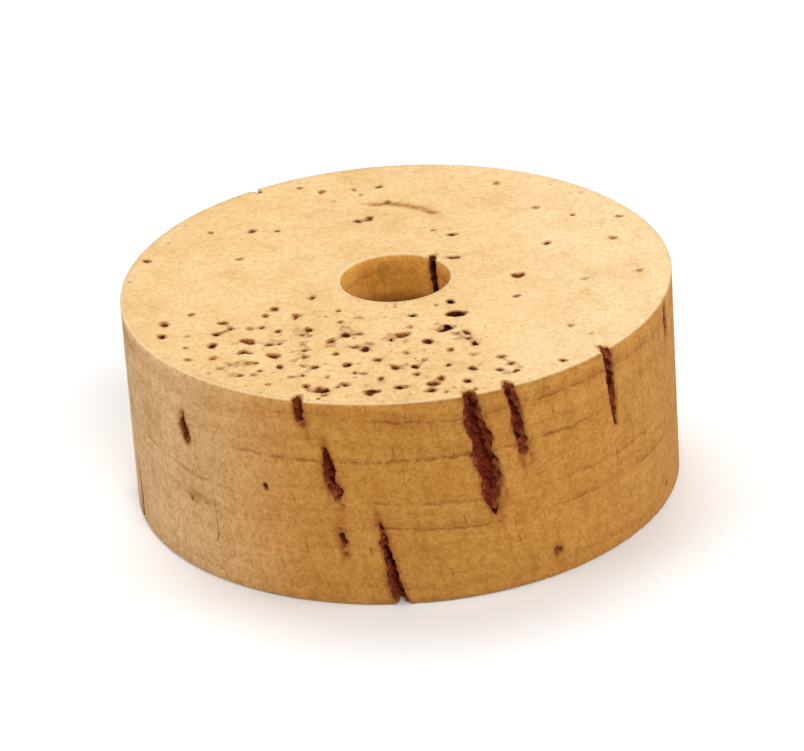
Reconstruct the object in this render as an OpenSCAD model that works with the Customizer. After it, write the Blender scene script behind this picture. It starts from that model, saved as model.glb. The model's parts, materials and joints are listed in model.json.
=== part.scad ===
// Cork ring: the bored disc of natural cork that grips and handles are glued up from.
// The origin is on the bore's axis at the lower face, and +Z runs up the bore.
// The cork's pores are channels that all run one way, leaning a little from the ring's axis.
// A channel shows as a slit where the side or the bore lays it open, and as a pore in a face.
// Angles round the ring count from the front, -Y, towards the right, +X.

/* [Ring] */
// Diameter of the turned side
outer_d = 31.75; // [24:0.05:50]
// Thickness from face to face
thickness = 12.7; // [8:0.1:25]
// Diameter of the drilled bore
bore_d = 6.35; // [4:0.05:10]
// Width of the broken edge round each face
rim_break = 0.15; // [0.05:0.05:0.5]
// Width of the broken edge at each end of the bore
bore_break = 0.1; // [0.05:0.05:0.3]

/* [Grain] */
// Lean of the channels from the ring's axis, towards the right on the way down
grain_lean = 10; // [0:1:20]
// How far a channel's edges stray from a smooth outline, as a share of its width
raggedness = 0.28; // [0:0.01:0.4]
// How far a channel's middle wanders from side to side, as a share of its width
meander = 0.16; // [0:0.01:0.3]
// Seed for everything that chance decides
seed = 41; // [1:1:200]

/* [Slits] */
// Width of the widest slit in the side
slit_w = 1.3; // [0.6:0.05:1.8]
// Depth of the deepest slit in the side
slit_depth = 1.1; // [0.4:0.1:2.5]
// Number of lesser slits shared out round the rest of the side
lesser_slit_n = 19; // [0:1:30]
// Width of the widest slit in the bore's wall
bore_slit_w = 0.5; // [0.2:0.05:0.8]
// Depth of the deepest slit in the bore's wall
bore_slit_depth = 0.55; // [0.3:0.05:0.9]

/* [Pores] */
// Width of the widest pore in a face
pore_w = 0.85; // [0.4:0.05:1.2]
// Depth of the deepest pore in a face
pore_depth = 0.8; // [0.3:0.1:2]
// Number of lesser pores spread over each face
lesser_pore_n = 30; // [0:1:60]
// Number of fine pores crowded into the fan on each face
fan_pore_n = 60; // [0:1:90]
// Width of the fan, as an angle seen from the bore
fan_spread = 95; // [40:5:160]

/* [Hidden] */
$fn = 144;
cork = [0.85, 0.66, 0.43];
outer_r = outer_d / 2;
bore_r = bore_d / 2;

// Length of one step along a slit's outline, and the least number of them
slit_step = 0.7;
least_steps = 4;
// Steps round a pore's outline
pore_steps = 7;
// A slit's inner part: its width and its length as shares of the mouth's
inner_w = 0.5;
inner_l = 0.74;
// Depth of a slit's mouth, before it narrows, as a share of its whole depth
mouth_depth = 0.4;
// Angle that brings each pore of a spiral well clear of the last ones
golden_angle = 137.508;
// Where the lesser slits begin round the side, and the arc that they are shared out over
lesser_start = 66;
lesser_arc = 222;
// The way that the fan opens on the upper face and on the lower one
top_fan = -20;
bottom_fan = 165;

// The marked slits in the front of the side, each as
// [angle, top, length, width, depth, peak, bluntness]
// top and length are shares of the thickness, counted down from the upper face
// width and depth are shares of the widest and deepest slit's
// peak is how far down its length a slit is widest
// bluntness is its width at either end, as a share of its width at the peak
front_slits = [
    [-51.5, 0.21, 0.16, 0.6, 0.6, 0.65, 0.2],
    [-22.6, -0.1, 0.24, 0.48, 0.5, 0.6, 0.6],
    [-17, 0.22, 0.27, 0.55, 0.75, 0.72, 0.3],
    [-14.6, 0.6, 0.17, 0.3, 0.35, 0.6, 0.3],
    [-6.6, 0.58, 0.52, 0.62, 0.9, 0.85, 0.2],
    [12.2, -0.08, 0.69, 1, 1, 0.7, 0.2],
    [20.2, -0.14, 0.5, 0.48, 0.6, 0.84, 0.5],
    [45, -0.12, 0.52, 0.45, 0.6, 0.3, 0.25],
    [30.5, 0.85, 0.05, 0.45, 0.4, 0.5, 0.6]];

// The slits in the bore's wall, in the same form
bore_slits = [
    [141, -0.1, 0.62, 1, 1, 0.4, 0.5],
    [35, 0.45, 0.3, 0.6, 0.6, 0.6, 0.4],
    [-112, 0.72, 0.38, 0.7, 0.8, 0.5, 0.4]];

// The marked pores of the upper face, each as [angle, reach, width, stretch]
// reach is how far out a pore lies, as a share of the way from the bore to the rim
// width is a share of the widest pore's, and stretch is its length over its width
top_pores = [
    [32, 0.24, 0.8, 1.6],
    [83, 0.31, 0.75, 1.2],
    [39, 0.13, 0.6, 1.3],
    [22, 0.34, 0.65, 1.5],
    [1, 0.35, 0.7, 1.3],
    [-23, 0.36, 0.6, 1.2],
    [-50, 0.62, 0.6, 1.4],
    [-18, 0.89, 0.8, 1.6],
    [-7, 0.9, 0.6, 1.2],
    [-1, 0.86, 0.5, 1.3],
    [7, 0.85, 0.6, 1.2],
    [121, 0.07, 0.45, 1.4],
    [-171, 0.41, 0.5, 1.2],
    [-162, 0.79, 0.4, 1.5]];

// The marked pores of the lower face
bottom_pores = [
    [150, 0.3, 0.8, 1.3],
    [172, 0.55, 0.7, 1.6],
    [-155, 0.42, 0.6, 1.2],
    [-170, 0.8, 0.9, 1.4],
    [60, 0.66, 0.65, 1.3],
    [-48, 0.2, 0.55, 1.5],
    [-95, 0.75, 0.5, 1.2]];

// A value from least to most by chance, spread evenly or lying mostly near the least
function evenly(least, most, chance) = least + (most - least) * chance;
function seldom(least, most, chance) = evenly(least, most, pow(chance, 2));

// Share of its full width that a slit has at t, from its top end, 0, to its bottom end, 1
function swell(t, peak, blunt) =
    blunt + (1 - blunt) * sin(90 * (t < peak ? t / peak : (1 - t) / (1 - peak)));

// One edge of a slit's outline from end to end, which side of the middle being 1 or -1
function slit_edge(long, wide, peak, blunt, lean, side, s) =
    let (
        steps = max(least_steps, round(long / slit_step)),
        rough = rands(-raggedness, raggedness, steps + 1, s + side),
        drift = rands(-meander, meander, steps + 1, s))
    [for (i = [0 : steps])
        let (t = i / steps, half = wide / 2 * swell(t, peak, blunt))
        [t * long * tan(lean) + wide * drift[i] + side * half * (1 + rough[i]),
            -t * long + half * rough[i]]];

function reversed(list) = [for (i = [len(list) - 1 : -1 : 0]) list[i]];

// Outline of a slit that hangs from its top end, x across it and y up it
function slit_outline(long, wide, peak, blunt, lean, s) =
    concat(slit_edge(long, wide, peak, blunt, lean, 1, s),
        reversed(slit_edge(long, wide, peak, blunt, lean, -1, s)));

// Outline of a pore round its middle, wide across and longer by stretch
function pore_outline(wide, stretch, s) =
    let (rough = rands(1 - raggedness, 1 + raggedness, pore_steps, s))
    [for (i = [0 : pore_steps - 1])
        let (a = 360 * i / pore_steps)
        wide / 2 * rough[i] * [stretch * cos(a), sin(a)]];

// Where a channel's middle meets a face
function on_face(angle, reach) =
    let (r = bore_r + reach * (outer_r - bore_r))
    [r * sin(angle), -r * cos(angle)];

// A slit cut into a wall of radius wall_r, a wide mouth with a narrower part behind it
module slit(wall_r, shape, widest, deepest, s) {
    angle = shape[0];
    top = thickness * (1 - shape[1]);
    long = thickness * shape[2];
    wide = shape[3] * widest;
    deep = shape[4] * deepest;
    peak = shape[5];
    blunt = shape[6];
    // The grain leans one way, so round the side only part of its lean shows
    lean = grain_lean * cos(angle);
    inset = long * (1 - inner_l) / 2;
    rotate([0, 0, angle])
        translate([0, -wall_r, top])
            rotate([90, 0, 0]) {
                linear_extrude(height = 2 * deep * mouth_depth, center = true)
                    polygon(slit_outline(long, wide, peak, blunt, lean, s));
                translate([inset * tan(lean), -inset, 0])
                    linear_extrude(height = 2 * deep, center = true)
                        polygon(slit_outline(long * inner_l, wide * inner_w, peak, blunt, lean, s));
            }
}

// A pore that runs down the grain from a face at height z
module pore(z, angle, reach, share, stretch, turn, s) {
    wide = pore_w * share;
    deep = pore_depth * evenly(0.35, 1, share);
    translate(concat(on_face(angle, reach), z))
        rotate([0, -grain_lean, turn])
            linear_extrude(height = 2 * deep, center = true)
                polygon(pore_outline(wide, stretch, s));
}

// The lesser slits, shared out from one end of the front ones round the back to the other
module lesser_slits() {
    for (i = [0 : 1 : lesser_slit_n - 1]) {
        chance = rands(0, 1, 6, seed + i);
        angle = lesser_start + lesser_arc * (i + 0.7 * chance[0]) / lesser_slit_n;
        long = seldom(0.1, 0.65, chance[1]);
        top = evenly(-0.12, 1.08 - long, chance[2]);
        wide = seldom(0.2, 0.7, chance[3]);
        deep = evenly(0.3, 1, wide);
        peak = evenly(0.25, 0.75, chance[4]);
        blunt = evenly(0.15, 0.65, chance[5]);
        slit(outer_r, [angle, top, long, wide, deep, peak, blunt], slit_w, slit_depth, seed + 10 * i);
    }
}

// The marked pores of one face
module marked_pores(z, marked, s) {
    for (i = [0 : 1 : len(marked) - 1]) {
        p = marked[i];
        pore(z, p[0], p[1], p[2], p[3], 50 * i, s + i);
    }
}

// The lesser pores of one face, spread over it in a loose spiral
module lesser_pores(z, s) {
    for (i = [0 : 1 : lesser_pore_n - 1]) {
        chance = rands(0, 1, 5, s + i);
        angle = golden_angle * i + 25 * chance[0];
        reach = evenly(0.08, 0.95, sqrt((i + chance[1]) / lesser_pore_n));
        share = seldom(0.28, 0.52, chance[2]);
        pore(z, angle, reach, share, evenly(1, 1.8, chance[3]), 360 * chance[4], s + i);
    }
}

// The fine pores of one face, crowded into a fan that opens at fan_angle
module fan_pores(z, fan_angle, s) {
    for (i = [0 : 1 : fan_pore_n - 1]) {
        chance = rands(0, 1, 4, s + i);
        swing = fan_spread * ((i * golden_angle / 360) % 1 - 0.5);
        reach = evenly(0.1, 0.93, sqrt((i + chance[0]) / fan_pore_n));
        share = seldom(0.26, 0.6, chance[1]);
        pore(z, fan_angle + swing, reach, share, evenly(1, 1.8, chance[2]), 360 * chance[3], s + i);
    }
}

// All the pores of one face
module face_pores(z, marked, fan_angle, s) {
    marked_pores(z, marked, s);
    lesser_pores(z, s + 100);
    fan_pores(z, fan_angle, s + 300);
}

// The turned and bored blank, its four edges broken
module blank() {
    rotate_extrude()
        polygon([
            [bore_r + bore_break, 0],
            [outer_r - rim_break, 0],
            [outer_r, rim_break],
            [outer_r, thickness - rim_break],
            [outer_r - rim_break, thickness],
            [bore_r + bore_break, thickness],
            [bore_r, thickness - bore_break],
            [bore_r, bore_break]]);
}

module cork_ring() {
    color(cork)
        difference() {
            blank();
            for (i = [0 : len(front_slits) - 1])
                slit(outer_r, front_slits[i], slit_w, slit_depth, seed + 3 * i);
            for (i = [0 : len(bore_slits) - 1])
                slit(bore_r, bore_slits[i], bore_slit_w, bore_slit_depth, seed + 5 * i);
            lesser_slits();
            face_pores(thickness, top_pores, top_fan, seed);
            face_pores(0, bottom_pores, bottom_fan, seed + 500);
        }
}

cork_ring();
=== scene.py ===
import json
import math

import bmesh
import bpy
from mathutils import Matrix, Vector
from mathutils.bvhtree import BVHTree


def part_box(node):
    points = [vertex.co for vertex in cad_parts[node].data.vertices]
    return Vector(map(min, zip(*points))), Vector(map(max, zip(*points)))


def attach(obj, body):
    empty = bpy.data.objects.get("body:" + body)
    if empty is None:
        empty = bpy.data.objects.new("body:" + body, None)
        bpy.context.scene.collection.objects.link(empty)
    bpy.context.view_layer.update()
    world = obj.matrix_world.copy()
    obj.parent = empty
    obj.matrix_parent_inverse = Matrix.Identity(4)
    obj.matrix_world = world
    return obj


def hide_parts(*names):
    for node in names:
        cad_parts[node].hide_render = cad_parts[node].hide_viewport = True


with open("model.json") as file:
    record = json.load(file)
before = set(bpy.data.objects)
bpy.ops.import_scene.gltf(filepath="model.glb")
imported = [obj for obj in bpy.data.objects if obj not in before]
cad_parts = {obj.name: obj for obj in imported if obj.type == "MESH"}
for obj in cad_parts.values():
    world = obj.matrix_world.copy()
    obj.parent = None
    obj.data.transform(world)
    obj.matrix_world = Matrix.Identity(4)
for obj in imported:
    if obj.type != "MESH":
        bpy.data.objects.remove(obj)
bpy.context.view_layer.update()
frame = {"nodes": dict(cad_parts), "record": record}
print("frame loaded")

metre = 1000.0  # the ring is worked on in millimetres

# the ring's own sizes in millimetres, from the frame
boreMount = next(m for m in frame["record"]["mounts"] if m["name"] == "bore")
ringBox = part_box("cork_ring")
ringSize = {
    "Radius": (ringBox[1][0] - ringBox[0][0]) / 2 * metre,
    "Thickness": (ringBox[1][2] - ringBox[0][2]) * metre,
    "Bore": boreMount["dims"]["r_mm"],
}


def put(tree, kind, ins=None, out=0, **settings):
    item = tree.nodes.new(kind)
    for name, value in settings.items():
        setattr(item, name, value)
    wire(tree, item, ins)
    return item.outputs[out]


def wire(tree, item, ins):
    for key, value in (ins or {}).items():
        if isinstance(value, bpy.types.NodeSocket):
            tree.links.new(value, item.inputs[key])
        else:
            item.inputs[key].default_value = value


def maths(tree, operation, *values):
    return put(tree, "ShaderNodeMath", dict(enumerate(values)), operation=operation)


def times(tree, *values):
    product = values[0]
    for value in values[1:]:
        product = maths(tree, "MULTIPLY", product, value)
    return product


def vectors(tree, operation, *values):
    out = 1 if operation in ("LENGTH", "DOT_PRODUCT") else 0
    return put(tree, "ShaderNodeVectorMath", dict(enumerate(values)), out, operation=operation)


def scaled(tree, vector, factor):
    return put(tree, "ShaderNodeVectorMath", {0: vector, "Scale": factor}, operation="SCALE")


def between(tree, value, low, high, toLow=0.0, toHigh=1.0):
    ins = {0: value, 1: low, 2: high, 3: toLow, 4: toHigh}
    return put(tree, "ShaderNodeMapRange", ins, interpolation_type="SMOOTHSTEP")


def choose(tree, mask, without, within):
    return put(tree, "ShaderNodeMix", {0: mask, 2: without, 3: within}, data_type="FLOAT")


def mixed(tree, factor, colourA, colourB, how="MIX"):
    ins = {0: factor, 6: colourA, 7: colourB}
    return put(tree, "ShaderNodeMix", ins, 2, data_type="RGBA", blend_type=how)


# the noises in the cork: swings in a millimetre, levels of detail, and roughness
corkNoise = {
    "wave": (0.07, 1.0, 0.5),  # the growth layers' rise and fall over the ring
    "ripple": (0.7, 4.0, 0.65),  # and from place to place
    "layerTone": (2.3, 4.0, 0.6),  # paler and darker layers
    "stretch": (0.22, 2.0, 0.5),  # where growth lines show at all
    "broken": (1.7, 4.0, 0.75),  # where they are broken
    "speckEdge": (2.4, 3.0, 0.6),
    "markPath": (0.9, 4.0, 0.6),
    "markBroken": (1.4, 3.0, 0.7),
    "lumps": (1.2, 1.0, 0.5),  # on the balls that cut the fine pores
    "crumble": (2.8, 2.0, 0.6),
    "mouth": (1.6, 2.0, 0.5),  # how a pit's mouth wanders, widely
    "mouthFine": (5.5, 2.0, 0.5),  # and finely
    "wear": (1.9, 3.0, 0.6),
    "skin": (1.3, 3.0, 0.6),
    "swirl": (0.5, 3.0, 0.5),  # what bends the clouds and stains
    "cloud": (0.42, 6.0, 0.62),
    "stain": (0.3, 5.0, 0.65),
    "grain": (6.0, 4.0, 0.7),
    "streak": (1.8, 5.0, 0.65),
    "light": (3.1, 4.0, 0.7),
    "rim": (2.2, 3.0, 0.6),
    "crumbs": (4.5, 4.0, 0.65),
    "touch": (8.0, 4.0, 0.65),  # the finest roughness of the skin
}
# the levels of a noise between which its patches fade in, and from what to what
patchLevels = {
    "stretch": (0.4, 0.6, 0.1, 1.0),
    "broken": (0.4, 0.58, 0.1, 1.0),
    "markBroken": (0.36, 0.56, 0.15, 1.0),
    "crumble": (0.32, 0.68, -0.7, 0.25),
    "cloud": (0.38, 0.68),
    "stain": (0.56, 0.72),
    "streak": (0.42, 0.72),
    "light": (0.6, 0.78),
    "rim": (0.35, 0.65, 0.3, 0.9),
}


def noise(tree, place, label, out=0, across="3D"):
    ins = dict(zip(("Scale", "Detail", "Roughness"), corkNoise[label]))
    ins["Vector" if across == "3D" else "W"] = place
    return put(tree, "ShaderNodeTexNoise", ins, out, noise_dimensions=across)


def patches(tree, place, label):
    return between(tree, noise(tree, place, label), *patchLevels[label])


# a noise's swing to either side, as a vector
def stray(tree, place, label, across="3D"):
    return vectors(tree, "SUBTRACT", noise(tree, place, label, 1, across), (0.5, 0.5, 0.5))


def minus(tree, one, other):
    return maths(tree, "SUBTRACT", one, other)


def apart(tree, one, other):
    return maths(tree, "ABSOLUTE", minus(tree, one, other))


def held(tree, value, low, high):
    return maths(tree, "MAXIMUM", maths(tree, "MINIMUM", value, high), low)


def splitUp(tree, vector):
    return put(tree, "ShaderNodeSeparateXYZ", {0: vector}).node.outputs


def joined(tree, x, y, z):
    return put(tree, "ShaderNodeCombineXYZ", {0: x, 1: y, 2: z})


def srgb(red, green, blue):
    def linear(level):
        share = level / 255
        return share / 12.92 if share <= 0.04045 else ((share + 0.055) / 1.055) ** 2.4
    return (linear(red), linear(green), linear(blue), 1.0)


floatIn = "NodeSocketFloat"
vectorIn = "NodeSocketVector"
shapeIn = "NodeSocketGeometry"
sizeIns = {label: (floatIn, size) for label, size in ringSize.items()}


def newGroup(name, kind, ins, outs):
    tree = bpy.data.node_groups.new(name, kind)
    for label, (socketType, value) in ins.items():
        socket = tree.interface.new_socket(label, in_out="INPUT", socket_type=socketType)
        if value is not None:
            socket.default_value = value
    for label, socketType in outs.items():
        tree.interface.new_socket(label, in_out="OUTPUT", socket_type=socketType)
    return tree, tree.nodes.new("NodeGroupInput").outputs, tree.nodes.new("NodeGroupOutput").inputs


groupsMade = {}


# each group is built once for the relief's trees and once for the finish
def useGroup(tree, build, ins=None):
    kind = tree.bl_idname
    if (build, kind) not in groupsMade:
        groupsMade[build, kind] = build(kind)
    item = tree.nodes.new("ShaderNodeGroup" if kind == "ShaderNodeTree" else "GeometryNodeGroup")
    item.node_tree = groupsMade[build, kind]
    wire(tree, item, ins)
    return item.outputs


# how the cork grew
corkGrain = {
    "lean": 10.0,  # degrees that the channels lean from the bore
    "squash": 0.16,  # how much a length along the channels counts for
    "layerSpacing": 1.7,  # mm from one growth line to the next
    "layerUnevenness": 0.9,  # 0 spaces them all alike
    "layerWave": 2.4,  # mm that the growth layers swing up and down
    "layerRipple": 0.6,  # mm
    "layerWidth": 0.16,  # mm
    "lineStrength": (0.4, 1.0, 0.15, 1.0),  # what a line's luck makes of its strength
    "bandFoot": (-0.1, 0.05),  # mm over which a line's darker band sets in
    "bandHeight": 0.85,  # mm
    "skinBlend": (-0.03, 0.05),  # mm over which a face's finish turns into a wall's
}


# where a point lies on the ring: how deep under the skin, and on which skin
def placeGroup(kind):
    ins = {"Position": (vectorIn, None), **sizeIns}
    outs = {label: floatIn for label in ("Depth", "Side", "Bore Wall", "Corner", "Reach")}
    tree, given, result = newGroup("corkPlace" + kind, kind, ins, outs)
    axes = splitUp(tree, given["Position"])
    reach = vectors(tree, "LENGTH", joined(tree, axes[0], axes[1], 0.0))
    fromTop = minus(tree, given["Thickness"], axes[2])
    fromFace = maths(tree, "MINIMUM", fromTop, axes[2])
    fromSide = minus(tree, given["Radius"], reach)
    fromBore = minus(tree, reach, given["Bore"])
    fromWall = maths(tree, "MINIMUM", fromSide, fromBore)
    tree.links.new(maths(tree, "MINIMUM", fromFace, fromWall), result["Depth"])
    tree.links.new(maths(tree, "MAXIMUM", fromFace, fromWall), result["Corner"])
    for wall, label in ((fromSide, "Side"), (fromBore, "Bore Wall")):
        lead = minus(tree, fromFace, wall)
        tree.links.new(between(tree, lead, *corkGrain["skinBlend"]), result[label])
    tree.links.new(reach, result["Reach"])
    return tree


# the same place seen along the grain, where a length down the channels counts for less
def grainwiseGroup(kind):
    ins = {
        "Position": (vectorIn, None),
        "Lean": (floatIn, math.tan(math.radians(corkGrain["lean"]))),
        "Squash": (floatIn, corkGrain["squash"]),
    }
    tree, given, result = newGroup("grainwise" + kind, kind, ins, {"Vector": vectorIn})
    axes = splitUp(tree, given["Position"])
    across = maths(tree, "MULTIPLY_ADD", axes[2], given["Lean"], axes[0])
    along = maths(tree, "MULTIPLY", axes[2], given["Squash"])
    tree.links.new(joined(tree, across, axes[1], along), result["Vector"])
    return tree


# growth layers: wavy sheets across the bore, so thin lines round the side and arcs on a face
def layerGroup(kind):
    ins = {
        "Position": (vectorIn, None),
        "Spacing": (floatIn, corkGrain["layerSpacing"]),
        "Wave": (floatIn, corkGrain["layerWave"]),
        "Ripple": (floatIn, corkGrain["layerRipple"]),
        "Width": (floatIn, corkGrain["layerWidth"]),
    }
    outs = {"Line": floatIn, "Band": floatIn, "Tone": floatIn}
    tree, given, result = newGroup("corkLayers" + kind, kind, ins, outs)
    point = given["Position"]
    wave = minus(tree, noise(tree, point, "wave"), 0.5)
    ripple = minus(tree, noise(tree, point, "ripple"), 0.5)
    swing = maths(tree, "MULTIPLY_ADD", wave, given["Wave"], times(tree, ripple, given["Ripple"]))
    height = maths(tree, "ADD", splitUp(tree, point)[2], swing)
    level = maths(tree, "DIVIDE", height, given["Spacing"])
    sheetIns = {"W": level, "Scale": 1.0, "Randomness": corkGrain["layerUnevenness"]}
    sheet = put(tree, "ShaderNodeTexVoronoi", sheetIns, voronoi_dimensions="1D").node.outputs
    above = times(tree, minus(tree, level, sheet["W"]), given["Spacing"])
    strength = between(tree, splitUp(tree, sheet["Color"])[0], *corkGrain["lineStrength"])
    stretch = patches(tree, point, "stretch")
    broken = patches(tree, point, "broken")
    thin = between(tree, maths(tree, "ABSOLUTE", above), given["Width"], 0.0)
    tree.links.new(times(tree, thin, strength, stretch, broken), result["Line"])
    band = times(tree, between(tree, above, *corkGrain["bandFoot"]),
                 between(tree, above, corkGrain["bandHeight"], 0.0))
    tree.links.new(times(tree, band, strength, stretch), result["Band"])
    tree.links.new(noise(tree, level, "layerTone", across="1D"), result["Tone"])
    return tree


# specks: places for one in a millimetre, the share that holds one, its size in mm, and how ragged
corkSpecks = {
    "flecks": {"Cells": 0.9, "Share": 0.2, "Size": 0.14, "Wobble": 0.3},
    "dust": {"Cells": 3.4, "Share": 0.2, "Size": 0.075, "Wobble": 0.12},
    "pepper": {"Cells": 2.0, "Share": 0.4, "Size": 0.15, "Wobble": 0.3},
}
speckSizes = (0.9, 0.35)  # how much luck adds to a speck's size, and the least it has
speckCore = 0.45  # the share of a speck that is fully dark


# specks along the channels: dots on a face, short dashes down the side
def speckGroup(kind):
    ins = {"Position": (vectorIn, None)}
    ins.update({label: (floatIn, value) for label, value in corkSpecks["flecks"].items()})
    tree, given, result = newGroup("corkSpecks" + kind, kind, ins, {"Speck": floatIn})
    sheared = useGroup(tree, grainwiseGroup, {"Position": given["Position"]})[0]
    wobble = scaled(tree, stray(tree, sheared, "speckEdge"), given["Wobble"])
    ragged = vectors(tree, "ADD", sheared, wobble)
    cell = put(tree, "ShaderNodeTexVoronoi", {"Vector": ragged, "Scale": given["Cells"]}).node.outputs
    luck = splitUp(tree, cell["Color"])
    kept = maths(tree, "LESS_THAN", luck[0], given["Share"])
    wide = times(tree, given["Size"], given["Cells"], maths(tree, "MULTIPLY_ADD", luck[1], *speckSizes))
    speck = between(tree, cell["Distance"], wide, times(tree, wide, speckCore))
    tree.links.new(times(tree, speck, kept), result["Speck"])
    return tree


# single marks of this ring: an arc on the upper face, a growth line and fine cracks on the side
corkMarks = {
    "arcCentre": (-1.5, 5.2),  # mm
    "arcReach": 5.2,
    "arcTurn": 27.0,  # degrees from the back, towards the right
    "arcAngle": 34.0,  # degrees either way from there
    "arcWidth": 0.5,
    "arcBreaks": 0.5,  # how far a break fades it
    "arcFade": 0.6,  # the share of its angle after which it fades
    "topShare": 0.9,  # the share of the thickness above which the arc may lie
    "lineHeight": 9.0,  # mm above the lower face
    "lineAngle": 48.0,  # degrees either way from the front
    "lineWidth": 0.2,
    "lineStrength": 0.8,
    "lineFade": 0.7,
    "wander": 0.7,  # mm that a mark strays from its path
    "crackFade": 0.5,  # mm
    # each as degrees from the front, mm above the lower face at its ends, width and degrees of lean
    "cracks": ((-43.5, 2.2, 5.2, 0.09, 0.0), (-28.0, 4.8, 6.1, 0.12, 12.0), (-39.0, 5.0, 5.8, 0.09, 8.0),
               (-13.5, 5.9, 6.8, 0.12, 12.0), (48.0, 4.4, 6.4, 0.1, 8.0)),
}


def markGroup(kind):
    ins = {"Position": (vectorIn, None), **sizeIns}
    tree, given, result = newGroup("corkMarks" + kind, kind, ins, {"Mark": floatIn})
    marks = corkMarks
    point = given["Position"]
    sizes = {label: given[label] for label in ringSize}
    place = useGroup(tree, placeGroup, {"Position": point, **sizes})
    wander = scaled(tree, stray(tree, point, "markPath"), marks["wander"])
    axes = splitUp(tree, vectors(tree, "ADD", point, wander))
    broken = patches(tree, point, "markBroken")

    across = minus(tree, axes[0], marks["arcCentre"][0])
    back = minus(tree, axes[1], marks["arcCentre"][1])
    reach = vectors(tree, "LENGTH", joined(tree, across, back, 0.0))
    away = apart(tree, reach, marks["arcReach"])
    turned = apart(tree, maths(tree, "ARCTAN2", across, back), math.radians(marks["arcTurn"]))
    halfArc = math.radians(marks["arcAngle"])
    onTop = maths(tree, "GREATER_THAN", axes[2], times(tree, given["Thickness"], marks["topShare"]))
    whole = maths(tree, "MULTIPLY_ADD", broken, marks["arcBreaks"], 1 - marks["arcBreaks"])
    arc = times(tree, between(tree, away, marks["arcWidth"], 0.0),
                between(tree, turned, halfArc, halfArc * marks["arcFade"]), onTop, whole)

    sideAngle = maths(tree, "ARCTAN2", axes[0], times(tree, axes[1], -1.0))
    turned = maths(tree, "ABSOLUTE", sideAngle)
    halfLine = math.radians(marks["lineAngle"])
    off = apart(tree, axes[2], marks["lineHeight"])
    onSide = times(tree, between(tree, off, marks["lineWidth"], 0.0, 0.0, marks["lineStrength"]),
                   between(tree, turned, halfLine, halfLine * marks["lineFade"]))
    for turn, low, high, width, lean in marks["cracks"]:
        around = times(tree, minus(tree, sideAngle, math.radians(turn)), given["Radius"])
        rise = minus(tree, axes[2], (low + high) / 2)
        off = maths(tree, "MULTIPLY_ADD", rise, math.tan(math.radians(lean)), around)
        crack = times(tree, between(tree, maths(tree, "ABSOLUTE", off), width, 0.0),
                      between(tree, axes[2], low, low + marks["crackFade"]),
                      between(tree, axes[2], high, high - marks["crackFade"]))
        onSide = maths(tree, "MAXIMUM", onSide, crack)
    onSide = times(tree, onSide, place["Side"], broken)
    tree.links.new(maths(tree, "MAXIMUM", onSide, arc), result["Mark"])
    return tree


# the fine pores, the ragged pits and the worn edges
corkRingShape = {
    "Seed": 7,
    "Fan Pores": 105,  # fine pores crowded into the fan on each face
    "Spread Pores": 24,  # fine pores over the whole of each face
    "Side Pores": 34,  # fine pores and short cracks round the side
    "Bore Pores": 10,
    "Fan Angle": -13.0,  # degrees from the front, towards the right
    "Fan Spread": 84.0,
    "Low Fan Turn": 185.0,  # degrees from the upper face's fan to the lower one's
    "Pore Width": 0.4,  # the widest of the fine pores, mm
    "Pore Depth": 0.45,
    "Rounding": 16,  # how often a pit's steps are smoothed
    "Ragged": 0.24,  # how far a pit's mouth wanders, mm
    "Crumble": 0.5,  # how far a pit's walls wander, mm
    "Edge Wear": 0.05,
    "Skin Relief": 0.02,
    "fanEdge": (1.2, 0.7),  # shares of half the spread between which the fan fades in
    "balls": 6,  # differently shaped balls that cut the fine pores
    "lumpiness": (1.5, 1.5, 0.6),  # how far their lumps reach, as shares of their size
    "narrowest": 0.32,  # the narrowest pore's share of the widest
    "mostlyNarrow": 2.2,  # 1 makes every width as likely
    "mostlyOutward": 0.6,  # 1 lays the pores in a face evenly from the bore to the side
    "boreMargin": 0.5,  # mm that the pores in a face keep clear of the bore
    "sideMargin": 0.4,
    "poreLength": (1.0, 2.3),  # a face's pore: its length in widths, shortest and longest
    "poreDepth": (0.5, 1.0),  # shares of the pore depth
    "crackWidth": 0.8,  # a wall's pore: all in half widths
    "crackDepth": 1.8,
    "crackLength": 1.4,
    "sideCrack": 1.3,  # mm that luck may add to its half length in the side
    "boreCrack": 1.0,  # and in the bore
    "mostlyShort": 3.0,
    "Voxel": 0.07,  # mm
    "crumbleDepth": (0.03, 0.22),  # mm under the skin over which crumbling sets in
    "wallShare": 0.3,  # the share of the room to the next wall that a wall may take
    "lookFrom": 0.02,  # mm off a wall where that room is measured from
    "lookReach": 3.0,  # mm
    "rimWidth": 0.2,  # mm from an edge that count as its rim
    "rimFromPit": 0.1,  # mm from a pit where a rim starts to wear
    "rimWeight": 0.6,
    "rimRounding": 8,  # how often a rim is smoothed
    "raggedReach": (0.8, 0.15),  # mm from a pit between which its mouth starts to wander
    "raggedRim": (0.1, 0.5),  # and mm from an edge
    "raggedFine": 0.5,  # the fine wander's share of the wide one
    "lineSunk": 0.9,  # how deep lines, specks and marks lie, in skin reliefs
    "speckSunk": 2.0,
    "markSunk": 3.0,
    "skinTurn": 0.8,  # how squarely a skin's face looks out
    "faceSlack": 0.03,  # mm off its true place that still counts as the skin
    "sideSlack": 0.12,
    "boreSlack": 0.08,
    "mergeWithin": 0.0005,  # mm
    "tinyFace": 1e-6,  # mm2
    "untangling": 12,  # the most rounds of smoothing where faces cross
    "pull": 0.5,  # how far a round takes a point
    "Triangles": 190000,
    "spacing": ((0.25, 0.1), (0.7, 0.45), (100.0, 0.75)),  # mm from a pit, how freely points go
    "evenness": 0.0002,  # how much a long edge counts against thinning
}


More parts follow.
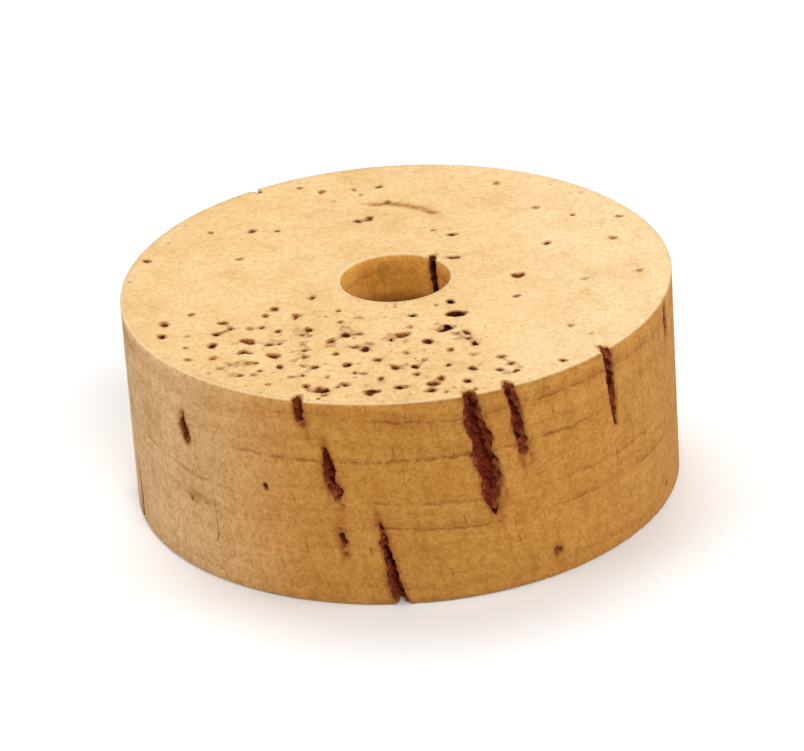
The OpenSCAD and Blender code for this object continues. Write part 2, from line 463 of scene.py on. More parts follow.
# the part of each face where the fine pores crowd
def fanGroup(kind):
    ins = {"Position": (vectorIn, None), "Thickness": sizeIns["Thickness"]}
    for label in ("Fan Angle", "Fan Spread", "Low Fan Turn"):
        ins[label] = (floatIn, corkRingShape[label])
    tree, given, result = newGroup("corkFan" + kind, kind, ins, {"Fan": floatIn})
    axes = splitUp(tree, given["Position"])
    angle = maths(tree, "ARCTAN2", axes[0], times(tree, axes[1], -1.0))
    low = maths(tree, "LESS_THAN", axes[2], times(tree, given["Thickness"], 0.5))
    middle = maths(tree, "MULTIPLY_ADD", low, given["Low Fan Turn"], given["Fan Angle"])
    away = minus(tree, angle, maths(tree, "RADIANS", middle))
    away = maths(tree, "ABSOLUTE", maths(tree, "WRAP", away, math.pi, -math.pi))
    half = maths(tree, "RADIANS", times(tree, given["Fan Spread"], 0.5))
    outer, inner = (times(tree, half, share) for share in corkRingShape["fanEdge"])
    tree.links.new(between(tree, away, outer, inner), result["Fan"])
    return tree


def chance(tree, given, low, high, offset):
    seed = maths(tree, "ADD", given["Seed"], float(offset))
    return put(tree, "FunctionNodeRandomValue", {2: low, 3: high, "Seed": seed}, 1)


# a few lumpy balls, each of another shape, to cut the fine pores with
def lumpyBalls(tree):
    bunch = tree.nodes.new("GeometryNodeJoinGeometry")
    for number in range(corkRingShape["balls"]):
        ball = put(tree, "GeometryNodeMeshIcoSphere", {"Radius": 1.0, "Subdivisions": 2})
        shift = stray(tree, float(number), "lumps", across="4D")
        shift = vectors(tree, "MULTIPLY", shift, corkRingShape["lumpiness"])
        lumpy = put(tree, "GeometryNodeSetPosition", {"Geometry": ball, "Offset": shift})
        tree.links.new(put(tree, "GeometryNodeGeometryToInstance", {0: lumpy}), bunch.inputs[0])
    return bunch.outputs[0]


def poreTree():
    shape = corkRingShape
    ins = {"Geometry": (shapeIn, None), **sizeIns}
    for label in ("Seed", "Fan Pores", "Spread Pores", "Side Pores", "Bore Pores"):
        ins[label] = ("NodeSocketInt", shape[label])
    for label in ("Fan Angle", "Fan Spread", "Low Fan Turn", "Pore Width", "Pore Depth"):
        ins[label] = (floatIn, shape[label])
    ins["Lean"] = (floatIn, math.radians(corkGrain["lean"]))
    tree, given, result = newGroup("finePores", "GeometryNodeTree", ins, {"Geometry": shapeIn})
    lean = times(tree, given["Lean"], -1.0)
    balls = lumpyBalls(tree)
    cut = tree.nodes.new("GeometryNodeMeshBoolean")
    cut.solver = "MANIFOLD"
    cut.operation = "DIFFERENCE"
    tree.links.new(given["Geometry"], cut.inputs["Mesh 1"])

    def cutPores(count, place, scale, turn, offset):
        points = put(tree, "GeometryNodePoints", {"Count": count, "Position": place})
        which = put(tree, "FunctionNodeRandomValue",
                    {"Min": 0, "Max": shape["balls"] - 1, "Seed": offset}, 2, data_type="INT")
        pores = put(tree, "GeometryNodeInstanceOnPoints",
                    {"Points": points, "Instance": balls, "Pick Instance": True, "Instance Index": which,
                     "Rotation": turn, "Scale": scale})
        tree.links.new(pores, cut.inputs["Mesh 2"])

    def atAngle(reach, angle, height):
        return joined(tree, times(tree, reach, maths(tree, "SINE", angle)),
                      times(tree, reach, -1.0, maths(tree, "COSINE", angle)), height)

    def skewed(power, offset):
        return maths(tree, "POWER", chance(tree, given, 0.0, 1.0, offset), power)

    def halfWidth(offset):
        luck = skewed(shape["mostlyNarrow"], offset)
        share = maths(tree, "MULTIPLY_ADD", luck, 1 - shape["narrowest"], shape["narrowest"])
        return times(tree, given["Pore Width"], 0.5, share)

    def poresInFace(count, height, first, last, offset):
        angle = maths(tree, "RADIANS", chance(tree, given, first, last, offset))
        share = skewed(shape["mostlyOutward"], offset + 1)
        room = minus(tree, given["Radius"], given["Bore"])
        room = minus(tree, room, shape["boreMargin"] + shape["sideMargin"])
        start = maths(tree, "ADD", given["Bore"], shape["boreMargin"])
        reach = maths(tree, "MULTIPLY_ADD", share, room, start)
        wide = halfWidth(offset + 2)
        long = times(tree, wide, chance(tree, given, *shape["poreLength"], offset + 3))
        deep = times(tree, given["Pore Depth"], chance(tree, given, *shape["poreDepth"], offset + 4))
        turn = joined(tree, 0.0, lean, chance(tree, given, 0.0, 2 * math.pi, offset + 5))
        cutPores(count, atAngle(reach, angle, height), joined(tree, long, wide, deep), turn, offset)

    def poresInWall(count, wall, longest, offset):
        angle = chance(tree, given, -math.pi, math.pi, offset)
        height = times(tree, given["Thickness"], chance(tree, given, 0.0, 1.0, offset + 1))
        wide = halfWidth(offset + 2)
        luck = skewed(shape["mostlyShort"], offset + 3)
        long = maths(tree, "MULTIPLY_ADD", luck, longest, times(tree, wide, shape["crackLength"]))
        thin, deep = (times(tree, wide, shape[label]) for label in ("crackWidth", "crackDepth"))
        turn = joined(tree, 0.0, times(tree, lean, maths(tree, "COSINE", angle)), angle)
        cutPores(count, atAngle(wall, angle, height), joined(tree, thin, deep, long), turn, offset)

    # the last number keeps each kind's draws apart
    halfFan = times(tree, given["Fan Spread"], 0.5)
    fanFrom = minus(tree, given["Fan Angle"], halfFan)
    fanTo = maths(tree, "ADD", given["Fan Angle"], halfFan)
    lowFrom = maths(tree, "ADD", fanFrom, given["Low Fan Turn"])
    lowTo = maths(tree, "ADD", fanTo, given["Low Fan Turn"])
    poresInFace(given["Fan Pores"], given["Thickness"], fanFrom, fanTo, 10)
    poresInFace(given["Spread Pores"], given["Thickness"], -180.0, 180.0, 20)
    poresInFace(given["Fan Pores"], 0.0, lowFrom, lowTo, 30)
    poresInFace(given["Spread Pores"], 0.0, -180.0, 180.0, 40)
    poresInWall(given["Side Pores"], given["Radius"], shape["sideCrack"], 50)
    poresInWall(given["Bore Pores"], given["Bore"], shape["boreCrack"], 60)
    tree.links.new(put(tree, "GeometryNodeRealizeInstances", {0: cut.outputs[0]}), result["Geometry"])
    return tree


# which of the four turned skins a point or a face lies on
def skinGroup(kind):
    labels = ("Top", "Low", "Side", "Bore Wall", "Any")
    tree, given, result = newGroup("ringSkins", kind, dict(sizeIns), {label: floatIn for label in labels})
    here = put(tree, "GeometryNodeInputPosition")
    facing = put(tree, "GeometryNodeInputNormal")
    sizes = {label: given[label] for label in ringSize}
    reach = useGroup(tree, placeGroup, {"Position": here, **sizes})["Reach"]
    axes = splitUp(tree, here)
    outward = vectors(tree, "NORMALIZE", joined(tree, axes[0], axes[1], 0.0))
    faceOut = vectors(tree, "DOT_PRODUCT", facing, outward)
    faceUp = splitUp(tree, facing)[2]

    def lies(value, target, slack, turned, sign):
        facesRight = maths(tree, "GREATER_THAN", times(tree, turned, sign), corkRingShape["skinTurn"])
        return times(tree, maths(tree, "COMPARE", value, target, corkRingShape[slack]), facesRight)

    masks = [
        lies(axes[2], given["Thickness"], "faceSlack", faceUp, 1.0),
        lies(axes[2], 0.0, "faceSlack", faceUp, -1.0),
        lies(reach, given["Radius"], "sideSlack", faceOut, 1.0),
        lies(reach, given["Bore"], "boreSlack", faceOut, -1.0),
    ]
    anySkin = masks[0]
    for label, mask in zip(labels, masks):
        tree.links.new(mask, result[label])
        anySkin = maths(tree, "MAXIMUM", anySkin, mask)
    tree.links.new(anySkin, result["Any"])
    return tree


def known(tree, label):
    return put(tree, "GeometryNodeInputNamedAttribute", {"Name": label}, data_type="FLOAT")


def noted(tree, shape, values):
    for label, value in values.items():
        shape = put(tree, "GeometryNodeStoreNamedAttribute",
                    {"Geometry": shape, "Name": label, "Value": value}, data_type="FLOAT", domain="POINT")
    return shape


def moved(tree, shape, offset):
    return put(tree, "GeometryNodeSetPosition", {"Geometry": shape, "Offset": offset})


# each point moves towards the middle of its neighbours, by its own weight
def evened(tree, shape, weight, count):
    here = put(tree, "GeometryNodeInputPosition")
    even = put(tree, "GeometryNodeBlurAttribute", {"Value": here, "Iterations": count, "Weight": weight},
               data_type="FLOAT_VECTOR")
    return put(tree, "GeometryNodeSetPosition", {"Geometry": shape, "Position": even})


# a pit's steps are rounded off, and then its walls crumble
def crumbleTree():
    ins = {"Geometry": (shapeIn, None), **sizeIns}
    ins["Rounding"] = ("NodeSocketInt", corkRingShape["Rounding"])
    ins["Crumble"] = (floatIn, corkRingShape["Crumble"])
    tree, given, result = newGroup("corkCrumble", "GeometryNodeTree", ins, {"Geometry": shapeIn})
    sizes = {label: given[label] for label in ringSize}
    here = put(tree, "GeometryNodeInputPosition")
    facing = put(tree, "GeometryNodeInputNormal")
    place = useGroup(tree, placeGroup, {"Position": here, **sizes})
    notSkin = minus(tree, 1.0, useGroup(tree, skinGroup, sizes)["Any"])
    pit = times(tree, notSkin, between(tree, place["Depth"], *corkRingShape["crumbleDepth"]))
    shape = noted(tree, given["Geometry"], {"pit": pit})
    shape = evened(tree, shape, known(tree, "pit"), given["Rounding"])

    # a wall stays clear of the wall it faces and of the one behind it
    def allowed(sign):
        ahead = scaled(tree, facing, sign)
        start = vectors(tree, "ADD", here, scaled(tree, ahead, corkRingShape["lookFrom"]))
        look = {"Target Geometry": shape, "Source Position": start, "Ray Direction": ahead,
                "Ray Length": corkRingShape["lookReach"]}
        room = put(tree, "GeometryNodeRaycast", look, "Hit Distance")
        return times(tree, room, sign * corkRingShape["wallShare"])

    push = times(tree, patches(tree, here, "crumble"), given["Crumble"], known(tree, "pit"))
    push = held(tree, push, allowed(-1.0), allowed(1.0))
    tree.links.new(moved(tree, shape, scaled(tree, facing, push)), result["Geometry"])
    return tree


# pits get ragged mouths, rims wear, and the skins go back to their true places with a fine relief
def reliefTree():
    ins = {"Geometry": (shapeIn, None), "Finish": ("NodeSocketMaterial", None), **sizeIns}
    ins["Cut Ring"] = ins["Plain Ring"] = ("NodeSocketObject", None)
    for label in ("Ragged", "Edge Wear", "Skin Relief"):
        ins[label] = (floatIn, corkRingShape[label])
    tree, given, result = newGroup("corkRelief", "GeometryNodeTree", ins, {"Geometry": shapeIn})
    how = corkRingShape
    sizes = {label: given[label] for label in ringSize}
    here = put(tree, "GeometryNodeInputPosition")
    facing = put(tree, "GeometryNodeInputNormal")
    place = useGroup(tree, placeGroup, {"Position": here, **sizes})
    skins = useGroup(tree, skinGroup, sizes)

    # how far a point is from the walls of any pit, and down the grain from the walls of a slit
    onRim = maths(tree, "LESS_THAN", place["Corner"], how["rimWidth"])
    notPit = maths(tree, "MAXIMUM", skins["Any"], onRim)

    def wallsOf(label):
        ring = put(tree, "GeometryNodeObjectInfo", {"Object": given[label]}, "Geometry")
        ins = {"Geometry": ring, "Selection": notPit}
        return put(tree, "GeometryNodeDeleteGeometry", ins, domain="FACE")

    def gap(target, spot):
        return put(tree, "GeometryNodeProximity", {0: target, "Source Position": spot}, "Distance")

    slits = wallsOf("Plain Ring")
    downGrain = useGroup(tree, grainwiseGroup, {"Position": here})[0]
    squashed = put(tree, "GeometryNodeSetPosition", {"Geometry": slits, "Position": downGrain})
    near = gap(wallsOf("Cut Ring"), here)
    clear = maths(tree, "GREATER_THAN", near, how["rimFromPit"])
    worn = times(tree, minus(tree, 1.0, skins["Any"]), onRim, clear)
    shape = noted(tree, given["Geometry"], {
        "top": skins["Top"], "low": skins["Low"], "side": skins["Side"], "boreWall": skins["Bore Wall"],
        "near": near, "slitNear": gap(slits, here), "grainNear": gap(squashed, downGrain), "worn": worn})
    shape = evened(tree, shape, times(tree, known(tree, "worn"), how["rimWeight"]), how["rimRounding"])

    hold = times(tree, between(tree, known(tree, "near"), *how["raggedReach"]),
                 between(tree, place["Corner"], *how["raggedRim"]))
    fine = scaled(tree, stray(tree, here, "mouthFine"), how["raggedFine"])
    drift = vectors(tree, "ADD", stray(tree, here, "mouth"), fine)
    drift = scaled(tree, drift, times(tree, given["Ragged"], hold))
    wear = times(tree, noise(tree, here, "wear"), given["Edge Wear"], known(tree, "worn"), -1.0)
    shape = moved(tree, shape, vectors(tree, "ADD", drift, scaled(tree, facing, wear)))

    # the four skins go back to their true planes and cylinders, sunk by a fine relief
    line = useGroup(tree, layerGroup, {"Position": here})["Line"]
    speck = useGroup(tree, speckGroup, {"Position": here})["Speck"]
    mark = useGroup(tree, markGroup, {"Position": here, **sizes})["Mark"]
    sink = maths(tree, "ADD", noise(tree, here, "skin"), times(tree, line, how["lineSunk"]))
    dips = maths(tree, "MULTIPLY_ADD", speck, how["speckSunk"], times(tree, mark, how["markSunk"]))
    sink = times(tree, maths(tree, "ADD", sink, dips), given["Skin Relief"])
    axes = splitUp(tree, here)
    side = minus(tree, given["Radius"], sink)
    reach = choose(tree, known(tree, "side"), place["Reach"], side)
    reach = choose(tree, known(tree, "boreWall"), reach, maths(tree, "ADD", given["Bore"], sink))
    reach = held(tree, reach, given["Bore"], given["Radius"])
    top = minus(tree, given["Thickness"], sink)
    height = choose(tree, known(tree, "top"), axes[2], top)
    height = choose(tree, known(tree, "low"), height, sink)
    height = held(tree, height, 0.0, given["Thickness"])
    outward = splitUp(tree, vectors(tree, "NORMALIZE", joined(tree, axes[0], axes[1], 0.0)))
    target = joined(tree, times(tree, outward[0], reach), times(tree, outward[1], reach), height)
    shape = put(tree, "GeometryNodeSetPosition", {"Geometry": shape, "Position": target})

    for label in ("top", "low", "side", "boreWall", "worn"):
        shape = put(tree, "GeometryNodeRemoveAttribute", {"Geometry": shape, "Name": label})
    smooth = put(tree, "GeometryNodeSetShadeSmooth", {"Geometry": shape})
    whole = put(tree, "GeometryNodeRealizeInstances", {0: smooth})
    finished = put(tree, "GeometryNodeSetMaterial", {"Geometry": whole, "Material": given["Finish"]})
    tree.links.new(finished, result["Geometry"])
    return tree


# inputs are set by their sockets' identifiers
def addTree(holder, tree, values):
    modifier = holder.modifiers.new(tree.name, "NODES")
    modifier.node_group = tree
    for socket in tree.interface.items_tree:
        if socket.in_out == "INPUT" and socket.name in values:
            modifier[socket.identifier] = values[socket.name]


def plainMesh(source, name):
    graph = bpy.context.evaluated_depsgraph_get()
    mesh = bpy.data.meshes.new_from_object(source.evaluated_get(graph))
    mesh.name = name
    return mesh


def addObject(name, data):
    item = bpy.data.objects.new(name, data)
    bpy.context.scene.collection.objects.link(item)
    return item


# a copy of the CAD node in millimetres, with its loose triangles joined up
def mergedCopy(node):
    mesh = node.data.copy()
    work = bmesh.new()
    work.from_mesh(mesh)
    bmesh.ops.transform(work, matrix=node.matrix_world @ Matrix.Scale(metre, 4), verts=work.verts)
    bmesh.ops.remove_doubles(work, verts=work.verts, dist=corkRingShape["mergeWithin"])
    bmesh.ops.recalc_face_normals(work, faces=work.faces)
    work.to_mesh(mesh)
    work.free()
    mesh.materials.clear()
    return addObject("ringCopy", mesh)


# no point may lie outside the CAD ring
def keepWithin(mesh):
    radius, thickness, bore = ringSize["Radius"], ringSize["Thickness"], ringSize["Bore"]
    for point in mesh.vertices:
        reach = math.hypot(point.co.x, point.co.y)
        allowed = min(max(reach, bore), radius)
        point.co.x *= allowed / reach
        point.co.y *= allowed / reach
        point.co.z = min(max(point.co.z, 0.0), thickness)


# the separate pieces of a mesh, each a set of its points, the largest last
def piecesOf(work):
    pieces = []
    waiting = set(work.verts)
    while waiting:
        piece = {waiting.pop()}
        edge = set(piece)
        while edge:
            edge = {line.other_vert(point) for point in edge for line in point.link_edges} - piece
            piece |= edge
        waiting -= piece
        pieces.append(piece)
    return sorted(pieces, key=len)


# the corners of faces that cross one another or have no area
def tangledCorners(work):
    work.faces.ensure_lookup_table()
    tree = BVHTree.FromBMesh(work)
    corners = set()
    for one, other in tree.overlap(tree):
        pair = set(work.faces[one].verts), set(work.faces[other].verts)
        if one < other and not pair[0] & pair[1]:
            corners |= pair[0] | pair[1]
    for face in work.faces:
        if face.calc_area() < corkRingShape["tinyFace"]:
            corners.update(face.verts)
    return corners


# loose crumbs go, and tangled faces are smoothed apart
def cleanUp(mesh):
    work = bmesh.new()
    work.from_mesh(mesh)
    crumbs = piecesOf(work)[:-1]
    bmesh.ops.delete(work, geom=[point for piece in crumbs for point in piece], context="VERTS")
    rounds = 0
    tangled = tangledCorners(work)
    while tangled and rounds < corkRingShape["untangling"]:
        around = {point for corner in tangled for face in corner.link_faces for point in face.verts}
        bmesh.ops.smooth_vert(work, verts=list(around), factor=corkRingShape["pull"],
                              use_axis_x=True, use_axis_y=True, use_axis_z=True)
        rounds += 1
        tangled = tangledCorners(work)
    work.to_mesh(mesh)
    work.free()
    print("cleaned up:", len(crumbs), "crumbs dropped,", rounds, "rounds of smoothing")


# plain cork keeps its points further apart than the cork by a pit
def thinOut(item):
    mesh = item.data
    near = [0.0] * len(mesh.vertices)
    mesh.attributes["near"].data.foreach_get("value", near)
    spare = item.vertex_groups.new(name="spare")
    closer = 0.0
    for limit, weight in corkRingShape["spacing"]:
        spare.add([i for i, gap in enumerate(near) if closer <= gap < limit], weight, "REPLACE")
        closer = limit
    thin = item.modifiers.new("thin", "DECIMATE")
    thin.vertex_group = spare.name
    thin.vertex_group_factor = corkRingShape["evenness"]
    triangles = sum(len(face.vertices) - 2 for face in mesh.polygons)
    thin.ratio = min(1.0, corkRingShape["Triangles"] / triangles)


# a closed skin of even squares, with nothing that crosses itself
def evenVoxels(item):
    voxels = item.modifiers.new("voxels", "REMESH")
    voxels.mode = "VOXEL"
    voxels.voxel_size = corkRingShape["Voxel"]


def makeCorkRing(node, finish):
    ringCopy = mergedCopy(node)
    print("ring copied:", len(ringCopy.data.polygons), "faces")
    addTree(ringCopy, poreTree(), corkRingShape)
    cutRing = addObject("cutRing", plainMesh(ringCopy, "cutRing"))
    ringCopy.modifiers.clear()
    print("fine pores cut:", len(cutRing.data.polygons), "faces")
    denseRing = addObject("denseRing", cutRing.data)
    evenVoxels(denseRing)
    addTree(denseRing, crumbleTree(), corkRingShape)
    evenVoxels(denseRing)
    rings = {"Cut Ring": cutRing, "Plain Ring": ringCopy}
    addTree(denseRing, reliefTree(), {**corkRingShape, **rings, "Finish": finish})
    dense = plainMesh(denseRing, "denseRing")
    print("pits roughened:", len(dense.polygons), "faces")
    denseRing.modifiers.clear()
    denseRing.data = dense
    thinOut(denseRing)
    mesh = plainMesh(denseRing, "corkRing")
    for spent in (denseRing, cutRing, ringCopy):
        bpy.data.objects.remove(spent)
    cleanUp(mesh)
    keepWithin(mesh)
    mesh.transform(Matrix.Scale(1 / metre, 4))
    print("ring made:", len(mesh.polygons), "faces")
    return addObject("corkRing", mesh)


# the finish of natural cork
corkColours = {
    "face": srgb(243, 207, 150),
    "facePaintedLight": srgb(250, 219, 168),  # painted light, towards the right
    "side": srgb(222, 165, 82),
    "sidePaleAndLit": srgb(248, 214, 168),  # paler cork and painted light, towards the left
    # painted light: brighter than the side's cork, so the shaded bore looks lit
    "bore": srgb(252, 192, 92),
    "pale": srgb(253, 226, 178),  # light flecks, and the edges' wear and painted highlight
    "cloud": srgb(240, 228, 208),  # each from here on darkens what is under it
    "olive": srgb(222, 212, 182),
    "grain": srgb(226, 207, 176),
    "fleck": srgb(196, 158, 112),
    "line": srgb(200, 170, 130),
    "tissue": srgb(208, 164, 112),
    "paintedBoreShade": srgb(168, 146, 92),  # painted shade, in the bore away from its ends
    "dark": srgb(150, 120, 110),  # some pores by the bore, and the slits in it
    "rim": srgb(158, 104, 50),  # a pit's own colours, from its mouth down
    "mouth": srgb(156, 82, 36),
    "hollow": srgb(136, 54, 20),
    "bottom": srgb(140, 50, 18),
    "crumbs": srgb(190, 114, 58),
}
# the tones that darken the skin: how strong on a face, how strong on a wall, and the colour
corkTones = {
    "Cloud": (0.5, 0.5, "cloud"),
    "Stain": (0.35, 0.7, "olive"),
    "Tone": (0.08, 0.8, "grain"),
    "Streak": (0.1, 0.4, "grain"),
    "Grain": (0.5, 0.8, "grain"),
    "Band": (0.12, 0.5, "grain"),
    "Line": (0.35, 0.85, "line"),
}
# lengths are in mm; a pair runs from where a thing sets in to where it is full, and a four goes on
# with its strength at both ends
corkSurface = {
    "roughness": 0.86,
    "pitRoughness": 0.97,
    "specular": 0.15,
    "sheen": 0.06,
    "sheenRoughness": 0.6,
    "swirl": 2.2,  # how far the clouds are bent
    "pebbles": 5.0,  # in a millimetre
    "pebbleShare": 0.25,  # the pebbles' share of the grain
    "grainLevels": (0.38, 0.7),
    "leftPaleAndLit": (-4.5, -15.3, 0.0, 0.95),  # paler cork and painted light, across the ring
    # painted light on the face, towards the right
    "rightPaintedLight": (1.0, 12.0),
    "paintedBoreShade": (2.2, 3.3),  # painted shade, from the nearer end
    "light": 0.35,
    "fanStreaks": 0.4,
    "pepper": 0.7,
    "dust": 0.6,
    "flecks": 0.45,
    # the edges paler: partly wear, partly painted highlight
    "wornEdgeAndHighlight": (0.2, 0.08, 0.0, 0.6),
    "tissueReach": (0.14, 0.3),  # on a face, and on a wall
    "tissueFull": 0.02,
    "tissueStreaks": 0.8,  # how far the streaks break it up
    "slitRim": (0.22, 0.02),
    "poreRim": (0.12, 0.02, 0.0, 0.7),
    "hollowDepth": (0.08, 0.45),
    "bottomDepth": (0.4, 0.95),
    "crumbLevels": (0.1, 0.6, 0.4, 0.56),  # the deeper, the higher the level where crumbs show
    "crumbFull": 0.72,
    "crumbShare": 0.75,
    "darkCentre": (2.7, -4.6),  # the middle of the darker pores
    "darkReach": (4.2, 2.2),
    "darkBore": (4.6, 3.6),
    "wornCorner": (0.3, 0.2),  # a worn edge is no pit
    "wornNear": (0.04, 0.12),
    "pitDepth": (0.035, 0.11),
    "bump": 0.4,
    "touch": 0.05,  # heights of the bumps
    "lineBump": -0.03,
    "speckBump": -0.06,
    "dustBump": 0.5,  # as a share of a speck's
    "crumbBump": 0.12,
}


# the tones of sanded cork: broad clouds, fine grain, and streaks down the channels
def toneGroup(kind):
    outs = {label: floatIn for label in ("Cloud", "Stain", "Grain", "Streak", "Light")}
    tree, given, result = newGroup("corkTones" + kind, kind, {"Position": (vectorIn, None)}, outs)
    point = given["Position"]
    swirl = scaled(tree, stray(tree, point, "swirl"), corkSurface["swirl"])
    swirled = vectors(tree, "ADD", point, swirl)
    sheared = useGroup(tree, grainwiseGroup, {"Position": point})[0]
    for label, place in (("Cloud", swirled), ("Stain", swirled), ("Streak", sheared), ("Light", point)):
        tree.links.new(patches(tree, place, label.lower()), result[label])
    cell = {"Vector": point, "Scale": corkSurface["pebbles"]}
    pebble = splitUp(tree, put(tree, "ShaderNodeTexVoronoi", cell, "Color"))[0]
    share = corkSurface["pebbleShare"]
    fine = times(tree, noise(tree, point, "grain"), 1 - share)
    grain = maths(tree, "MULTIPLY_ADD", pebble, share, fine)
    tree.links.new(between(tree, grain, *corkSurface["grainLevels"]), result["Grain"])
    return tree


def naturalCork():
    finish = bpy.data.materials.new("naturalCork")
    finish.use_nodes = True
    tree = finish.node_tree
    tree.nodes.clear()
    look, how = corkColours, corkSurface
    point = scaled(tree, put(tree, "ShaderNodeTexCoord", out="Object"), metre)
    place = useGroup(tree, placeGroup, {"Position": point})
    layers = useGroup(tree, layerGroup, {"Position": point})
    tones = useGroup(tree, toneGroup, {"Position": point})
    specks = {}
    for name, ins in corkSpecks.items():
        specks[name] = useGroup(tree, speckGroup, {"Position": point, **ins})[0]
    mark = useGroup(tree, markGroup, {"Position": point})[0]
    near, slitNear, grainNear = (put(tree, "ShaderNodeAttribute", out="Fac", attribute_name=name)
                                 for name in ("near", "slitNear", "grainNear"))

    def darkened(body, share, label):
        return mixed(tree, share, body, look[label], "MULTIPLY")

    def ranged(value, label):
        return between(tree, value, *how[label])

    def most(*values):
        highest = values[0]
        for value in values[1:]:
            highest = maths(tree, "MAXIMUM", highest, value)
        return highest

    # the sanded skin
    axes = splitUp(tree, point)
    # painted light: the side paler to the left, partly the cork's own tone, and the face lighter to the
    # right
    side = mixed(tree, ranged(axes[0], "leftPaleAndLit"), look["side"], look["sidePaleAndLit"])
    face = mixed(tree, ranged(axes[0], "rightPaintedLight"), look["face"], look["facePaintedLight"])
    body = mixed(tree, place["Side"], face, side)
    # painted light: the bore's cork brighter than the side's
    body = mixed(tree, place["Bore Wall"], body, look["bore"])
    # painted shade: the bore darker away from its ends
    fromTop = minus(tree, ringSize["Thickness"], axes[2])
    inward = maths(tree, "MINIMUM", fromTop, axes[2])
    body = darkened(body, times(tree, place["Bore Wall"], ranged(inward, "paintedBoreShade")), "paintedBoreShade")
    onWall = most(place["Side"], place["Bore Wall"])

    def toned(body, source, label):
        onFaces, onWalls, colour = corkTones[label]
        return darkened(body, times(tree, source[label], choose(tree, onWall, onFaces, onWalls)), colour)

    for label in ("Cloud", "Stain", "Tone", "Streak", "Grain"):
        body = toned(body, layers if label == "Tone" else tones, label)
    body = mixed(tree, times(tree, tones["Light"], how["light"]), body, look["pale"])
    body = toned(toned(body, layers, "Band"), layers, "Line")
    fan = most(minus(tree, useGroup(tree, fanGroup, {"Position": point})[0], onWall), 0.0)
    pepper = times(tree, specks["pepper"], fan)
    body = darkened(body, times(tree, fan, tones["Streak"], how["fanStreaks"]), "cloud")
    for name, mask in (("pepper", pepper), ("dust", specks["dust"]), ("flecks", specks["flecks"])):
        body = darkened(body, times(tree, mask, how[name]), "fleck")
    body = darkened(body, mark, "line")
    # the edges paler: partly wear, partly painted highlight
    body = mixed(tree, ranged(place["Corner"], "wornEdgeAndHighlight"), body, look["pale"])

    # the brown tissue that lines the channels and runs on along the grain
    tissue = between(tree, grainNear, choose(tree, onWall, *how["tissueReach"]), how["tissueFull"])
    streaks = maths(tree, "MULTIPLY_ADD", tones["Streak"], how["tissueStreaks"], 1 - how["tissueStreaks"])
    body = darkened(body, times(tree, tissue, streaks), "tissue")
    rim = most(ranged(slitNear, "slitRim"), ranged(near, "poreRim"))
    body = mixed(tree, times(tree, rim, patches(tree, point, "rim")), body, look["rim"])

    # the crumbly walls of a pit, darker the deeper they lie
    crumbs = noise(tree, point, "crumbs")
    pit = mixed(tree, ranged(place["Depth"], "hollowDepth"), look["mouth"], look["hollow"])
    pit = mixed(tree, ranged(place["Depth"], "bottomDepth"), pit, look["bottom"])
    level = ranged(place["Depth"], "crumbLevels")
    loose = between(tree, crumbs, level, how["crumbFull"], 0.0, how["crumbShare"])
    pit = mixed(tree, loose, pit, look["crumbs"])
    fromSpot = vectors(tree, "SUBTRACT", point, (*how["darkCentre"], ringSize["Thickness"]))
    darkPores = ranged(vectors(tree, "LENGTH", fromSpot), "darkReach")
    pit = darkened(pit, most(darkPores, ranged(place["Reach"], "darkBore")), "dark")
    wornEdge = times(tree, ranged(place["Corner"], "wornCorner"), ranged(near, "wornNear"))
    inPit = times(tree, ranged(place["Depth"], "pitDepth"), minus(tree, 1.0, wornEdge))
    body = mixed(tree, inPit, body, pit)

    height = times(tree, noise(tree, point, "touch"), how["touch"])
    height = maths(tree, "MULTIPLY_ADD", most(layers["Line"], mark), how["lineBump"], height)
    dips = most(specks["flecks"], pepper, times(tree, specks["dust"], how["dustBump"]))
    height = maths(tree, "MULTIPLY_ADD", dips, how["speckBump"], height)
    height = maths(tree, "MULTIPLY_ADD", times(tree, crumbs, inPit), how["crumbBump"], height)
    bump = {"Strength": how["bump"], "Distance": 1 / metre, "Height": height}
    shader = tree.nodes.new("ShaderNodeBsdfPrincipled")
    wire(tree, shader, {
        "Base Color": body,
        "Roughness": choose(tree, inPit, how["roughness"], how["pitRoughness"]),
        "Specular IOR Level": how["specular"],
        "Sheen Weight": how["sheen"],
        "Sheen Roughness": how["sheenRoughness"],
        "Normal": put(tree, "ShaderNodeBump", bump),
    })
    out = tree.nodes.new("ShaderNodeOutputMaterial")
    tree.links.new(shader.outputs[0], out.inputs["Surface"])
    return finish


corkRing = makeCorkRing(frame["nodes"]["cork_ring"], naturalCork())
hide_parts("cork_ring")
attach(corkRing, "root")
print("cork ring dressed")


# the table, the light and the camera
studio = {
    "white": (1.0, 1.0, 1.0, 1.0),
    "tableBounce": (0.55, 0.53, 0.5, 1.0),  # what the table throws back up, plainer than it looks
    "tableSize": 3.0,
    "sky": 0.34,
    "lamps": {  # where from, how strong, degrees across
        "backLamp": ((-0.1, 0.5, 1.0), 0.41, 35.0),
        "frontLamp": ((0.25, -1.0, 1.0), 0.37, 25.0),
        "leftLamp": ((-1.0, -0.3, 0.4), 0.28, 30.0),
        "rightLamp": ((1.0, -0.1, 0.35), 0.33, 30.0),
    },
}
view = {
    "elevation": 26.6,
    "roll": -3.9,
    "distance": 0.27,
    "ringShare": 0.68,  # the ring's width in the picture
    "sensor": 36.0,
    "nearest": 0.01,
}


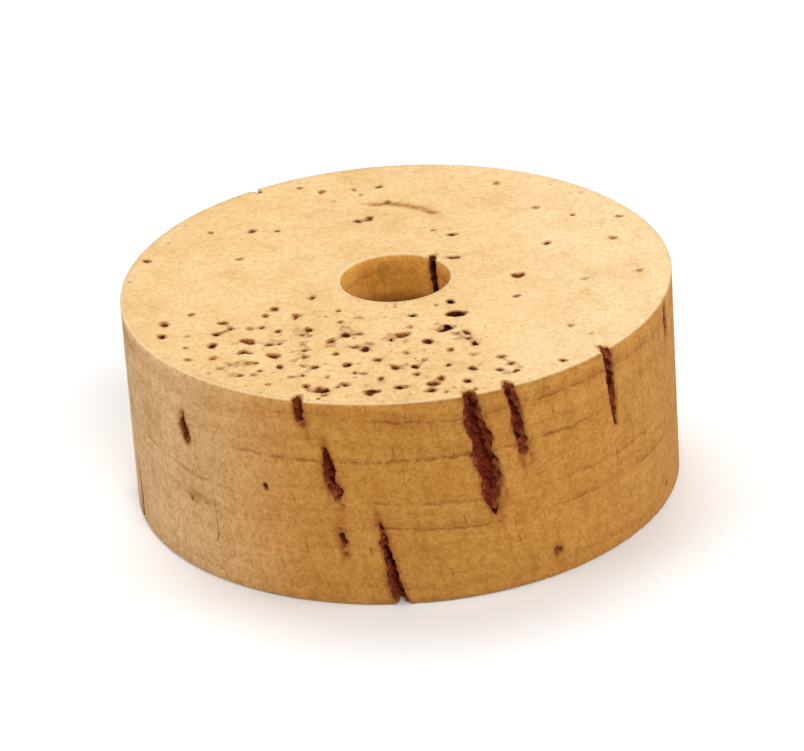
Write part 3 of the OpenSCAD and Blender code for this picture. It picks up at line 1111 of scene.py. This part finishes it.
def makeTable():
    work = bmesh.new()
    bmesh.ops.create_grid(work, x_segments=1, y_segments=1, size=studio["tableSize"])
    mesh = bpy.data.meshes.new("table")
    work.to_mesh(mesh)
    work.free()
    finish = bpy.data.materials.new("whiteTable")
    finish.use_nodes = True
    tree = finish.node_tree
    tree.nodes.clear()
    seen = put(tree, "ShaderNodeLightPath", out="Is Camera Ray")
    colour = mixed(tree, seen, studio["tableBounce"], studio["white"])
    surface = put(tree, "ShaderNodeBsdfDiffuse", {"Color": colour})
    tree.links.new(surface, tree.nodes.new("ShaderNodeOutputMaterial").inputs["Surface"])
    mesh.materials.append(finish)
    addObject("table", mesh)


def makeLamps():
    for name, (source, level, spread) in studio["lamps"].items():
        lamp = bpy.data.lights.new(name, "SUN")
        lamp.energy = level * math.pi
        lamp.angle = math.radians(spread)
        addObject(name, lamp).rotation_euler = Vector(source).to_track_quat("Z", "Y").to_euler()


def makeSky():
    world = bpy.data.worlds.new("studioSky")
    world.use_nodes = True
    tree = world.node_tree
    tree.nodes.clear()
    seen = put(tree, "ShaderNodeLightPath", out="Is Camera Ray")
    level = between(tree, seen, 0.0, 1.0, studio["sky"], 1.0)
    sky = put(tree, "ShaderNodeBackground", {"Color": studio["white"], "Strength": level})
    tree.links.new(sky, tree.nodes.new("ShaderNodeOutputWorld").inputs["Surface"])
    bpy.context.scene.world = world


def makeCamera():
    lens = bpy.data.cameras.new("camera")
    middle = Vector((0, 0, ringSize["Thickness"] / 2 / metre))
    tilt = math.radians(view["elevation"])
    away = Vector((0, -math.cos(tilt), math.sin(tilt)))
    lens.sensor_width = view["sensor"]
    seenWidth = 2 * ringSize["Radius"] / metre / view["ringShare"]
    lens.lens = view["sensor"] * view["distance"] / seenWidth
    lens.clip_start = view["nearest"]
    camera = addObject("camera", lens)
    turn = away.to_track_quat("Z", "Y").to_matrix() @ Matrix.Rotation(math.radians(view["roll"]), 3, "Z")
    camera.matrix_world = Matrix.Translation(middle + away * view["distance"]) @ turn.to_4x4()
    bpy.context.scene.camera = camera


makeTable()
makeLamps()
makeSky()
makeCamera()
bpy.context.scene.view_settings.view_transform = "Standard"
print("table, light and camera set")
